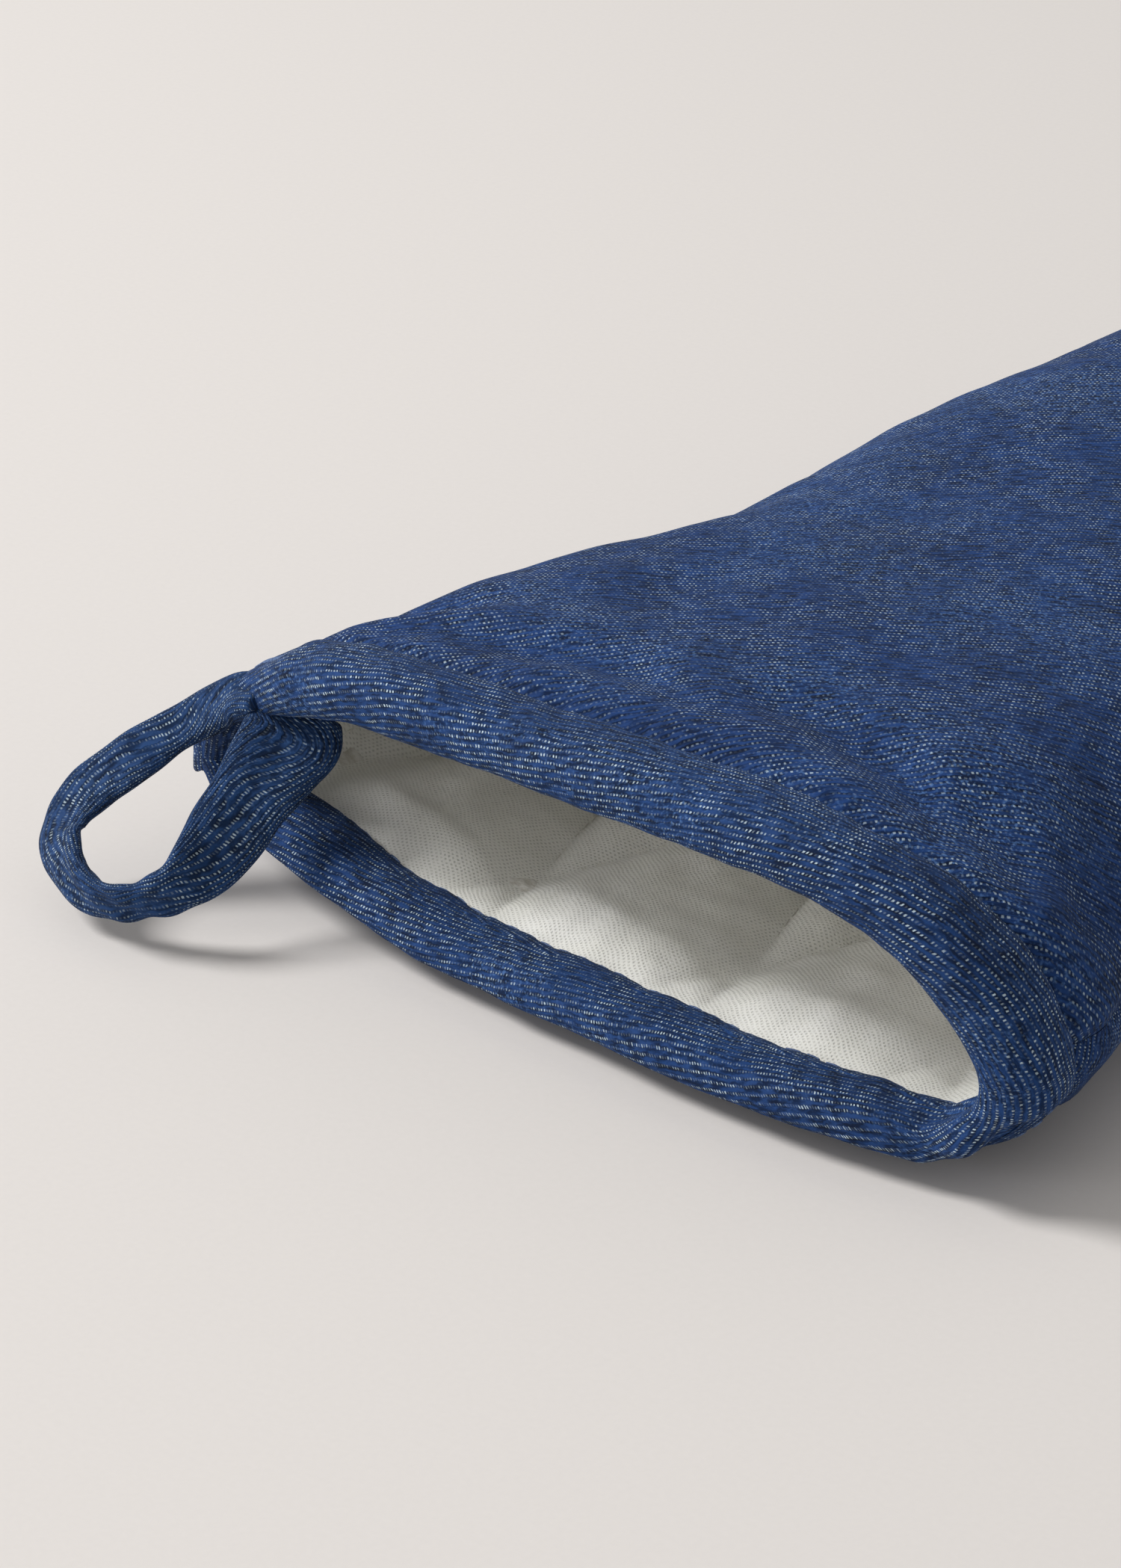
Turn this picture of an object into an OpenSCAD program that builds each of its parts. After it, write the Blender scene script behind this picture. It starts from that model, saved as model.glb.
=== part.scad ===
// Quilted denim oven mitt lying palm down, cuff open, with a hanging loop at the cuff corner.
// Millimetres. +X across the mitt towards the thumb, +Y from the cuff to the fingertips, +Z up.

/* [Outline] */
// Length from the middle of the cuff edge to the fingertips
mitt_length = 318; // [270:1:370]
// Width of the open cuff, across the outside of the denim
cuff_width = 166; // [140:1:190]
// Width of the pocket for the four fingers
hand_width = 122; // [100:1:146]
// How far each side is drawn in at the wrist
wrist_tuck = 5; // [0:0.5:8]
// Distance of the narrowest place of the wrist from the cuff edge
wrist_reach = 90; // [70:1:110]
// Length over which the fingertips are rounded off
fingertip_round = 78; // [60:1:95]
// How far the cuff's corners lie back from the middle of its edge
corner_setback = 7.5; // [0:0.5:10]
// How far the cuff edge runs askew, from its middle to either corner
cuff_skew = 3; // [-5:0.5:5]

/* [Thickness] */
// Height of the side seam above the surface, under the middle of the cuff
seam_height = 17.5; // [15:0.5:21]
// Sideways tilt of the plane of the side seam, in degrees
seam_tilt = 2.5; // [0:0.5:3]
// Rise of the back above the side seam, at the cuff
cuff_rise = 29.5; // [24:0.5:36]
// Rise of the back above the side seam, over the hand
hand_rise = 24; // [19:0.5:29]
// Depth of the palm below the side seam before the surface flattens it
palm_drop = 25; // [22:0.5:30]

/* [Thumb] */
// Distance of the thumb's root from the cuff edge
thumb_root_y = 96; // [86:1:106]
// Place of the thumb's root across the mitt
thumb_root_x = 43; // [38:1:46]
// Length of the thumb, from the middle of its root to the middle of its tip
thumb_reach = 114; // [100:1:130]
// Angle of the thumb away from the fingers
thumb_angle = 18; // [14:1:22]
// Radius of the thumb at its root
thumb_root_radius = 33; // [28:0.5:35]
// Radius of the thumb at its tip
thumb_tip_radius = 23.5; // [19:0.5:26]
// Half the height of the stuffed thumb
thumb_half_height = 19; // [17:0.5:21]

/* [Layers] */
// Thickness of the denim
denim_thickness = 1; // [0.8:0.1:1.4]
// Thickness of the quilted batting
batting_thickness = 4; // [3:0.25:5]
// Thickness of the cotton lining
lining_thickness = 0.5; // [0.4:0.05:0.8]
// Clearance between one layer and the next
layer_gap = 0.1; // [0.05:0.01:0.15]
// Width of the seam between the back and the palm, which the thread fills
seam_gap = 0.6; // [0.5:0.05:0.8]

/* [Binding] */
// Depth of the bias binding, from the cuff edge to its sewn edges
binding_depth = 11; // [8:0.5:14]
// Thickness of the folded binding on each face of the cuff
binding_thickness = 1.7; // [1.2:0.1:2]

/* [Hanging loop] */
// Width of the folded strip
strip_width = 10; // [8:0.5:12]
// Width of the strip where it is gathered at its roots
strip_root_width = 3; // [3:0.1:4]
// Thickness of the folded strip
strip_thickness = 2.5; // [2:0.1:3]
// How far the loop reaches out from the cuff
loop_reach = 38; // [30:1:42]
// How far the loop's strands bulge apart
loop_bulge = 8; // [6:0.5:10]
// Place across the cuff of the outer root
outer_root_x = 76; // [74:0.5:78]
// Place across the cuff of the inner root
inner_root_x = 64; // [60:0.5:66]
// Running clearance between the roots and the binding
root_gap = 0.3; // [0.25:0.05:0.5]

/* [Stitching] */
// Thickness of the sewing thread
thread = 0.4; // [0.3:0.05:0.45]
// Spacing of the quilting's diamonds across the mitt
quilt_pitch = 43; // [36:1:50]
// Angle between a line of quilting and the length of the mitt, in degrees
quilt_angle = 18; // [14:1:45]
// Place across the mitt of a crossing of the quilting nearest the cuff
quilt_start_x = 15; // [-20:1:20]
// Inset of the stitching from the edges of the loop's strip
edge_stitch_inset = 2; // [1.5:0.1:2.5]

/* [Hidden] */

// Depth of each layer's faces below the outside of the mitt
batting_out = denim_thickness + layer_gap;
batting_in = batting_out + batting_thickness;
lining_out = batting_in + layer_gap;
wall = lining_out + lining_thickness;

// Sides of a cross-section, and the powers that make it fuller than an ellipse
half_sides = 16;
fullness = 2.6;
shoulder = 1.7;

// Cross-sections along the pocket: straight stretch, then the rounded fingertips
straight_sections = 8;
tip_sections = 6;
tip_last_angle = 84;
round_start = mitt_length - fingertip_round;
setback_fade = 60;
floor_fade = 16;
far = 1200;

function blend(t) = let(s = min(1, max(0, t))) s * s * (3 - 2 * s);
function mix(a, b, t) = a + (b - a) * t;
function unit(v) = v / norm(v);

// Outline of the pocket in plan
function tuck(y) = wrist_tuck * (blend(y / wrist_reach) - 0.6 * blend((y - wrist_reach) / wrist_reach));
function left_x(y) = -cuff_width / 2 + tuck(y);
hand_right = hand_width - cuff_width / 2;
crotch_y = thumb_root_y + 0.7 * thumb_reach;
function right_x(y) = mix(cuff_width / 2 - tuck(y), hand_right, blend((y - thumb_root_y) / (crotch_y - thumb_root_y)));

// Heights: the seam's plane, the back's rise over it and the surface under the palm
function seam_z(x) = seam_height + x * tan(seam_tilt);
function rise(y) = mix(cuff_rise, hand_rise, blend(y / 120));
function floor_z(y) = binding_thickness * (1 - blend((y - binding_depth) / floor_fade));
function crown(u) = pow(max(0, 1 - pow(min(1, abs(u)), fullness)), 1 / shoulder);

// Set-back of the cuff edge at x, fading out along the mitt
function setback(x, y) = let(u = 2 * x / cuff_width)
    (corner_setback * pow(abs(u), 3) - cuff_skew * u) * (1 - blend(y / setback_fade));

// Height of the back, at x and y, with the surface sunk by d
function half_w(y, d) = (right_x(y) - left_x(y)) / 2 - d;
function mid_x(y) = (right_x(y) + left_x(y)) / 2;
function back_z(x, y, d) = seam_z(x) + (rise(y) - d) * crown((x - mid_x(y)) / half_w(y, d));
function palm_z(x, y, d) = max(floor_z(y) + d, seam_z(x) - (palm_drop - d) * crown((x - mid_x(y)) / half_w(y, d)));

// One cross-section at y, sunk by d, scaled by k at the rounded tips
function section(y, d, k = 1) = [
    for (j = [0 : 2 * half_sides - 1])
        let(a = 180 * j / half_sides, top = j <= half_sides, u = -cos(a),
            x = mid_x(y) + half_w(y, d) * k * u, lift = pow(k, 0.7),
            z = top ? seam_z(x) + (rise(y) - d) * lift * crown(u)
                : max(floor_z(y) + d, seam_z(x) - (palm_drop - d) * lift * crown(u)))
            [x, y + setback(x, y), z]
];

// Faces of a skin over rings of n points; loop_rings joins the last ring to the first
function band_faces(rings, n, loop_rings) = [
    for (i = [0 : rings - (loop_rings ? 1 : 2)], j = [0 : n - 1])
        let(a = i * n, b = ((i + 1) % rings) * n, k = (j + 1) % n)
            each [[a + j, b + j, b + k], [a + j, b + k, a + k]]
];

// Cap of a cross-section: strips between each point of the back and the palm point under it
function cap_faces(base, flip) = [
    for (j = [0 : half_sides - 1])
        let(p = base + j, q = base + j + 1, r = base + (2 * half_sides - j - 1) % (2 * half_sides),
            s = base + (2 * half_sides - j) % (2 * half_sides),
            tris = j == 0 ? [[p, q, r]] : j == half_sides - 1 ? [[p, q, s]] : [[p, q, r], [p, r, s]])
            each [for (t = tris) flip ? [t[2], t[1], t[0]] : t]
];

// Pocket for the hand, sunk by d, reaching past the cuff edge by overrun
module pocket(d, overrun) {
    tip_y = mitt_length - d;
    rings = concat(
        overrun > 0 ? [[for (p = section(0, d)) p - [0, overrun, 0]]] : [],
        [section(0, d), section(binding_depth, d), section(binding_depth + floor_fade, d)],
        [for (i = [1 : straight_sections])
            section(mix(binding_depth + floor_fade, round_start, i / straight_sections), d)],
        [for (i = [1 : tip_sections])
            let(a = tip_last_angle * i / tip_sections)
                section(mix(round_start, tip_y, sin(a) / sin(tip_last_angle)), d, cos(a))]
    );
    n = 2 * half_sides;
    polyhedron(
        points = [for (r = rings) each r],
        faces = concat(band_faces(len(rings), n, false), cap_faces(0, false), cap_faces((len(rings) - 1) * n, true))
    );
}

// Thumb, sunk by d: overlapping lenses from root to tip, flattened by the surface it lies on
thumb_steps = 4;
function thumb_at(t) = [
    thumb_root_x + thumb_reach * sin(thumb_angle) * t,
    thumb_root_y + thumb_reach * cos(thumb_angle) * t
];
module thumb_lens(t, d) {
    c = thumb_at(t);
    r = mix(thumb_root_radius, thumb_tip_radius, t) - d;
    translate([c[0], c[1], thumb_half_height - 1]) scale([r, r, thumb_half_height - d]) sphere(1, $fn = 24);
}
module thumb(d) {
    intersection() {
        for (i = [0 : thumb_steps - 1]) hull() {
            thumb_lens(i / thumb_steps, d);
            thumb_lens((i + 1) / thumb_steps, d);
        }
        translate([-far / 2, 0, d]) cube(far);
    }
}

// The whole mitt as a solid, sunk by d
module form(d, overrun = 0) {
    pocket(d, overrun);
    thumb(d);
}

// Everything above (side 1) or below (side -1) the seam's plane, clear of it by gap
module seam_side(side, gap) {
    translate([0, 0, seam_height]) rotate([0, -seam_tilt, 0])
        translate([-far / 2, -far / 2, side > 0 ? gap : -gap - far]) cube(far);
}

// One layer of one face, between two depths
module layer(outside, inside, side) {
    intersection() {
        difference() {
            form(outside);
            form(inside, binding_depth);
        }
        seam_side(side, seam_gap / 2);
    }
}

// Thread sewn in the seam between the two faces of a layer
module seam_thread(outside, inside) {
    margin = (inside - outside - thread) / 2;
    intersection() {
        difference() {
            form(outside + margin);
            form(inside - margin, binding_depth);
        }
        seam_side(1, -thread / 2);
        seam_side(-1, -thread / 2);
    }
}

// Band round the cuff whose profile is a list of [distance from the cuff edge, depth below the outside]
module cuff_band(profile) {
    polyhedron(
        points = [for (p = profile) each [for (q = section(max(0, p[0]), p[1])) q + [0, min(0, p[0]), 0]]],
        faces = band_faces(len(profile), 2 * half_sides, true)
    );
}

module back_shell() color([0.22, 0.31, 0.46]) layer(0, denim_thickness, 1);
module palm_shell() color([0.20, 0.28, 0.42]) layer(0, denim_thickness, -1);
module back_batting() color([0.93, 0.92, 0.88]) layer(batting_out, batting_in, 1);
module palm_batting() color([0.93, 0.92, 0.88]) layer(batting_out, batting_in, -1);
module back_lining() color([0.72, 0.72, 0.69]) layer(lining_out, wall, 1);
module palm_lining() color([0.78, 0.78, 0.76]) layer(lining_out, wall, -1);

// Bias tape folded over the raw edge of all the layers
module cuff_binding() color([0.23, 0.31, 0.44]) {
    b = binding_thickness;
    g = layer_gap;
    nose = wall / 5;
    cuff_band([
        [binding_depth, -b], [0, -b], [-0.7 * b, nose - b], [-b, nose], [-b, wall - nose],
        [-0.7 * b, wall + b - nose], [0, wall + b], [binding_depth, wall + b],
        [binding_depth, wall + g], [-g, wall + g], [-g, -g], [binding_depth, -g]
    ]);
}

// Needle thread outside and bobbin thread inside, each in the ditch beside the binding
module binding_thread() color([0.45, 0.55, 0.70]) {
    g = layer_gap;
    y0 = binding_depth + g;
    for (d = [-g - thread, wall + g])
        cuff_band([[y0, d], [y0, d + thread], [y0 + thread, d + thread], [y0 + thread, d]]);
}

module side_seam_thread() color([0.16, 0.22, 0.34]) seam_thread(0, denim_thickness);
module lining_seam_thread() color([0.85, 0.85, 0.82]) seam_thread(lining_out, wall);

// Quilting: diagonal lines of thread that lie on the inside of the lining, in short straight runs
quilt_clearance = 0.42;
quilt_depth = wall + quilt_clearance + thread / 2;
quilt_run = 15;
quilt_edge = 0.85;
quilt_first_y = 2.5 * binding_depth;
quilt_last_y = round_start;
function on_lining(x, y) = abs(x - mid_x(y)) < quilt_edge * half_w(y, wall);
module quilting(back) {
    span = quilt_last_y - quilt_first_y;
    runs = floor(span / quilt_run);
    lean = tan(quilt_angle);
    lines = ceil((span * lean + cuff_width) / quilt_pitch);
    for (slope = [-1, 1], line = [-lines : lines], i = [0 : runs - 1]) {
        y0 = quilt_first_y + i * quilt_run;
        y1 = y0 + quilt_run;
        x0 = quilt_start_x + line * quilt_pitch + slope * lean * (y0 - quilt_first_y);
        x1 = x0 + slope * lean * quilt_run;
        if (on_lining(x0, y0) && on_lining(x1, y1)) hull()
            for (p = [[x0, y0], [x1, y1]])
                translate([p[0], p[1], back ? back_z(p[0], p[1], quilt_depth) : palm_z(p[0], p[1], quilt_depth)])
                    cube(thread, center = true);
    }
}
module back_quilting_thread() color([0.88, 0.88, 0.86]) quilting(true);
module palm_quilting_thread() color([0.88, 0.88, 0.86]) quilting(false);

// Hanging loop: a folded strip whose two roots are sewn to the front of the binding
strip_r = strip_thickness / 2;
loop_out = unit([-0.2, -0.86, -0.5]);
strip_across = unit([0, -0.5, 0.86]);
root_reach = strip_r - strip_across[1] * (strip_root_width / 2 - strip_r);
root_depth = 0.6;
function root(x, d) = [x, setback(x, 0) - binding_thickness - root_gap - root_reach, back_z(x, 0, d)];
outer_root = root(-outer_root_x, root_depth);
inner_root = root(-inner_root_x, wall - root_depth);
loop_steps = 14;
function loop_at(t) = mix(outer_root, inner_root, t) + loop_out * loop_reach * sin(180 * t)
    - [loop_bulge * sin(360 * t), 0, 0];
function strip_half(t) = mix(strip_root_width, strip_width, blend(4 * min(t, 1 - t))) / 2;
function strip_normal(t) = unit(cross(loop_at(min(1, t + 0.02)) - loop_at(max(0, t - 0.02)), strip_across));
module strip_station(t) {
    for (s = [-1, 1]) translate(loop_at(t) + s * strip_across * (strip_half(t) - strip_r)) sphere(strip_r, $fn = 12);
}
module hanging_loop() color([0.18, 0.25, 0.37]) {
    for (i = [0 : loop_steps - 1]) hull() {
        strip_station(i / loop_steps);
        strip_station((i + 1) / loop_steps);
    }
}

// Two rows of stitching along the outer face of the strip
module loop_edge_thread() color([0.45, 0.55, 0.70]) {
    lift = strip_r + layer_gap + thread / 2;
    for (s = [-1, 1], i = [2 : loop_steps - 3]) hull()
        for (t = [i / loop_steps, (i + 1) / loop_steps])
            translate(loop_at(t) + strip_normal(t) * lift + s * strip_across * (strip_half(t) - edge_stitch_inset))
                sphere(thread / 2, $fn = 6);
}

// Bar tack across the binding, over the ends of the strip, in short runs that follow its curve
tack_runs = 8;
module loop_tack_thread() color([0.45, 0.55, 0.70]) {
    tack_y = binding_depth / 3;
    tack_depth = -binding_thickness - layer_gap - thread / 2;
    for (i = [0 : tack_runs - 1]) hull()
        for (x = [mix(-outer_root_x, -inner_root_x, i / tack_runs), mix(-outer_root_x, -inner_root_x, (i + 1) / tack_runs)])
            translate([x, tack_y + setback(x, tack_y), back_z(x, tack_y, tack_depth)])
                cube([thread, 3 * thread, thread], center = true);
}

// Middle of the mitt's own box, so that it lies centred on the origin
loop_points = [for (i = [0 : 8 * loop_steps]) loop_at(i / (8 * loop_steps))];
low_x = min([for (p = loop_points) p[0]]) - strip_r;
low_y = min([for (p = loop_points) p[1]]) - strip_r + strip_across[1] * (strip_width / 2 - strip_r);
high_x = thumb_at(1)[0] + thumb_tip_radius;
module placed() translate([-(low_x + high_x) / 2, -(low_y + mitt_length) / 2, 0]) children();

placed() back_shell();
placed() palm_shell();
placed() back_batting();
placed() palm_batting();
placed() back_lining();
placed() palm_lining();
placed() cuff_binding();
placed() binding_thread();
placed() side_seam_thread();
placed() lining_seam_thread();
placed() back_quilting_thread();
placed() palm_quilting_thread();
placed() hanging_loop();
placed() loop_edge_thread();
placed() loop_tack_thread();
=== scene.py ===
import math

import bmesh
import bpy
import numpy as np
from mathutils import Euler, Matrix, Vector, noise
from mathutils.bvhtree import BVHTree


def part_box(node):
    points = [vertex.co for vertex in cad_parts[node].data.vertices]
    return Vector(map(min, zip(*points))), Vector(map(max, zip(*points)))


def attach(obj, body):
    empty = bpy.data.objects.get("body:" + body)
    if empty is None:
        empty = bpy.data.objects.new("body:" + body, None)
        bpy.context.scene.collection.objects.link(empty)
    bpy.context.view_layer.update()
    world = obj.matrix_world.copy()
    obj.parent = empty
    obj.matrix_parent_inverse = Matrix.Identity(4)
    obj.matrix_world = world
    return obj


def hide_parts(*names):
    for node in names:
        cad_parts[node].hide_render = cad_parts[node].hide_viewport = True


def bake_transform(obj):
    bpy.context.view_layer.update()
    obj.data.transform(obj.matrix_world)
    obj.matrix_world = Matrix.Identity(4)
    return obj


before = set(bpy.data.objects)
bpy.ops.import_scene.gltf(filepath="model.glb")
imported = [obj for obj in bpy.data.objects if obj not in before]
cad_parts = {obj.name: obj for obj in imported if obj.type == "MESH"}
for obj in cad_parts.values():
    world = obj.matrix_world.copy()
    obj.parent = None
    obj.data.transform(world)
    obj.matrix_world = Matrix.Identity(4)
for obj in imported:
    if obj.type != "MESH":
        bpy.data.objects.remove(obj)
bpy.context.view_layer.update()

# The table top the mitt lies on, a large soft lamp at its upper left, a weaker one that lights
# the mouth, and the camera.
# The table is matt and pale, and the room light is plain, so the cloth shows its own colour.


def srgb(red, green, blue):
    """A colour written as 0 to 255 values, as the linear colour that a shader takes."""
    linear = []
    for value in (red, green, blue):
        part = value / 255
        linear.append(part / 12.92 if part <= 0.04045 else ((part + 0.055) / 1.055) ** 2.4)
    return (*linear, 1.0)


def add_object(name, data):
    """A new object in the scene that holds this data."""
    made = bpy.data.objects.new(name, data)
    bpy.context.scene.collection.objects.link(made)
    return made


def new_material(name, roughness=0.9):
    """A node material, with its tree and its Principled shader."""
    made = bpy.data.materials.new(name)
    made.use_nodes = True
    tree = made.node_tree
    shader = tree.nodes["Principled BSDF"]
    shader.inputs["Roughness"].default_value = roughness
    return made, tree, shader


def add_node(tree, kind, settings=None, **inputs):
    """A shader node; each input is a value, or the socket that feeds it."""
    made = tree.nodes.new("ShaderNode" + kind)
    for key, value in (settings or {}).items():
        setattr(made, key, value)
    for key, value in inputs.items():
        socket = made.inputs[int(key[2:]) if key.startswith("at") else key.replace("_", " ")]
        if isinstance(value, bpy.types.NodeSocket):
            tree.links.new(value, socket)
        else:
            socket.default_value = value
    return made


def calc(tree, operation, *values):
    """The output of a Math node."""
    inputs = {f"at{i}": value for i, value in enumerate(values)}
    return add_node(tree, "Math", {"operation": operation}, **inputs).outputs[0]


floor_mesh = bmesh.new()
bmesh.ops.create_grid(floor_mesh, x_segments=1, y_segments=1, size=4.0)
floor_data = bpy.data.meshes.new("floor")
floor_mesh.to_mesh(floor_data)
floor_mesh.free()
floor = add_object("floor", floor_data)
floor_paint, floor_tree, floor_shader = new_material("matt_table", 0.95)
floor_spot = add_node(floor_tree, "TexCoord").outputs["Object"]
floor_grain = add_node(floor_tree, "TexNoise", Vector=floor_spot, Scale=900.0, Detail=2.0)
floor_tint = add_node(
    floor_tree,
    "MixRGB",
    Fac=floor_grain.outputs["Fac"],
    Color1=srgb(221, 216, 212),
    Color2=srgb(225, 220, 216),
)
floor_tree.links.new(floor_tint.outputs[0], floor_shader.inputs["Base Color"])
floor_shader.inputs["Specular IOR Level"].default_value = 0.1
floor_data.materials.append(floor_paint)

room = bpy.data.worlds.new("room")
room.use_nodes = True
room.node_tree.nodes["Background"].inputs["Color"].default_value = (1.0, 0.995, 0.985, 1.0)
room.node_tree.nodes["Background"].inputs["Strength"].default_value = 0.42
bpy.context.scene.world = room


def add_lamp(name, place, target, size, power):
    """A round soft lamp at place, turned to shine at target."""
    light = bpy.data.lights.new(name, "AREA")
    light.shape = "DISK"
    light.size = size
    light.energy = power
    lamp = add_object(name, light)
    lamp.location = place
    lamp.rotation_euler = (Vector(target) - Vector(place)).to_track_quat("-Z", "Y").to_euler()


add_lamp("window", (-1.58, -1.05, 1.72), (0, -0.08, 0), 0.95, 53.0)
add_lamp("reflector", (-0.80, -1.7, 0.36), (0, -0.10, 0.02), 0.7, 7.5)

camera_data = bpy.data.cameras.new("camera")
camera_data.lens = 118.96
camera_data.sensor_width = 36.0
camera_data.clip_start = 0.05
camera = add_object("camera", camera_data)
camera.location = (0.4427, -0.6418, 0.3674)
camera_down, camera_round, camera_roll = (math.radians(a) for a in (25.89, 41.89, 0.17))
aim = Euler((math.pi / 2 - camera_down, 0, camera_round)).to_matrix()
camera.rotation_euler = (aim @ Matrix.Rotation(camera_roll, 3, "Z")).to_euler()
bpy.context.scene.camera = camera
bpy.context.scene.view_settings.view_transform = "Standard"


# The denim hand: a back and a palm panel of heavy indigo twill, cut to the same outline and
# sewn together round the edge, then turned. The padding inside keeps both panels rounded.
mitt_length = 0.318
cuff_width = 0.166
hand_width = 0.122
wrist_tuck = 0.005
wrist_reach = 0.090
fingertip_round = 0.078
corner_setback = 0.0075
cuff_skew = 0.003
setback_fade = 0.060
seam_height = 0.0175
seam_lean = math.tan(math.radians(2.5))
cuff_rise = 0.0295
hand_rise = 0.024
palm_drop = 0.025
rise_fade = 0.120
thumb_root = (0.043, 0.096)
thumb_reach = 0.114
thumb_angle = math.radians(18)
thumb_radii = (0.033, 0.0235)
thumb_half_height = 0.019
binding_depth = 0.011
binding_thickness = 0.0017
wall = 0.0057

cuff_middle = Vector(
    (
        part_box("cuff_binding")[0].x + cuff_width / 2 + binding_thickness,
        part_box("back_shell")[1].y - mitt_length,
        0,
    )
)


def ease(t):
    """Smooth step from 0 to 1."""
    s = min(1.0, max(0.0, t))
    return s * s * (3 - 2 * s)


def mix(a, b, t):
    return a + (b - a) * t


def tuck(y):
    return wrist_tuck * (ease(y / wrist_reach) - 0.6 * ease((y - wrist_reach) / wrist_reach))


def outline_at(y):
    """Left and right edges of the pocket at y."""
    left = -cuff_width / 2 + tuck(y)
    spread = ease((y - thumb_root[1]) / (0.7 * thumb_reach))
    return left, mix(cuff_width / 2 - tuck(y), hand_width - cuff_width / 2, spread)


def crown(u, fullness=2.6):
    return max(0.0, 1 - min(1.0, abs(u)) ** fullness) ** (1 / 1.7)


def seam_z(x):
    return seam_height + x * seam_lean


def floor_z(y):
    """Height of the underside, which the binding lifts off the table near the cuff."""
    return binding_thickness * (1 - ease((y - binding_depth) / 0.016))


def corner_lift(x, y):
    """How far the palm's edge curls up off the table at the loop's corner of the cuff."""
    left = 0.0062 * ease((-x - 0.020) / 0.055)
    right = 0.0006 * ease((x - 0.030) / 0.025)
    return (left + right) * (1 - ease(y / 0.075))


def ring_at(y, depth, shrink=1.0, sides=96):
    """Cross-section of the pocket at y, sunk by depth below the outside of the denim."""
    square = 1 - ease(y / 0.095)
    left, right = outline_at(y)
    middle, half = (left + right) / 2, (right - left) / 2 - depth
    rise = mix(cuff_rise, hand_rise, ease(y / rise_fade)) - depth
    lift = shrink**0.7
    points = []
    for i in range(sides):
        angle = 2 * math.pi * i / sides
        u = -math.cos(angle)
        x = middle + half * shrink * u
        if i <= sides / 2:
            right_fuller = 1.6 * ease(3 * u) * square
            left_fuller = (1.3 + 3.2 * ease(y / 0.040)) * ease(-3 * u) * (1 - ease(y / 0.13))
            z = seam_z(x) + rise * lift * crown(u, 2.6 + right_fuller + left_fuller)
        else:
            fall = (palm_drop - depth) * lift * crown(u, 2.6 + 2.2 * square * ease(3 * u))
            z = max(floor_z(y) + depth, seam_z(x) - fall) + corner_lift(x, y)
        points.append(Vector((x, y, z)))
    return points


def place_on_table(point):
    """A point of the straight pattern, with the cuff's curved edge, where the mitt lies."""
    u = 2 * point.x / cuff_width
    back = corner_setback * min(1.3, abs(u)) ** 3 - cuff_skew * u
    low_right = ease((point.x - 0.056) / 0.022) * ease((0.030 - point.z) / 0.016)
    point.x += 0.0024 * low_right * (1 - ease(point.y / 0.070))
    back += 0.0010 * ease((point.x - 0.036) / 0.030) * ease((0.020 - point.z) / 0.016)
    return point + cuff_middle + Vector((0, back * (1 - ease(point.y / setback_fade)), 0))


def loft(bm, rings, closed=False):
    """Skins the rings, each a list of points, by extruding the first from one to the next."""
    count = len(rings[0])
    slot = bm.verts.layers.int.new("slot")
    first = bmesh.ops.create_circle(bm, segments=count, radius=0.01)["verts"]
    bm.verts.ensure_lookup_table()
    chain = [first[0]]
    before = None
    while len(chain) < count:
        ways = [e.other_vert(chain[-1]) for e in chain[-1].link_edges]
        step = ways[0] if ways[0] is not before else ways[1]
        before = chain[-1]
        chain.append(step)
    for i, vert in enumerate(chain):
        vert[slot] = i
        vert.co = rings[0][i]
    edges = list(bm.edges)
    start, rows = list(edges), [sorted(chain, key=lambda v: v[slot])]
    for ring in rings[1:]:
        grown = bmesh.ops.extrude_edge_only(bm, edges=edges)["geom"]
        edges = [g for g in grown if isinstance(g, bmesh.types.BMEdge)]
        verts = sorted((g for g in grown if isinstance(g, bmesh.types.BMVert)), key=lambda v: v[slot])
        for vert, spot in zip(verts, ring):
            vert.co = spot
        edges = [e for e in edges if all(v in set(verts) for v in e.verts)]
        rows.append(verts)
    if closed:
        bmesh.ops.bridge_loops(bm, edges=start + edges)
    return rows, start, edges


def cap_ends(bm):
    """Closes every open loop of edges."""
    bmesh.ops.holes_fill(bm, edges=[e for e in bm.edges if e.is_boundary])


def object_from(bm, name):
    data = bpy.data.meshes.new(name)
    bm.to_mesh(data)
    bm.free()
    return add_object(name, data)


def apply_modifiers(made):
    """Replaces the object's mesh by what its modifiers make of it."""
    done = made.evaluated_get(bpy.context.evaluated_depsgraph_get())
    data = bpy.data.meshes.new_from_object(done)
    made.modifiers.clear()
    old, made.data = made.data, data
    bpy.data.meshes.remove(old)


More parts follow.
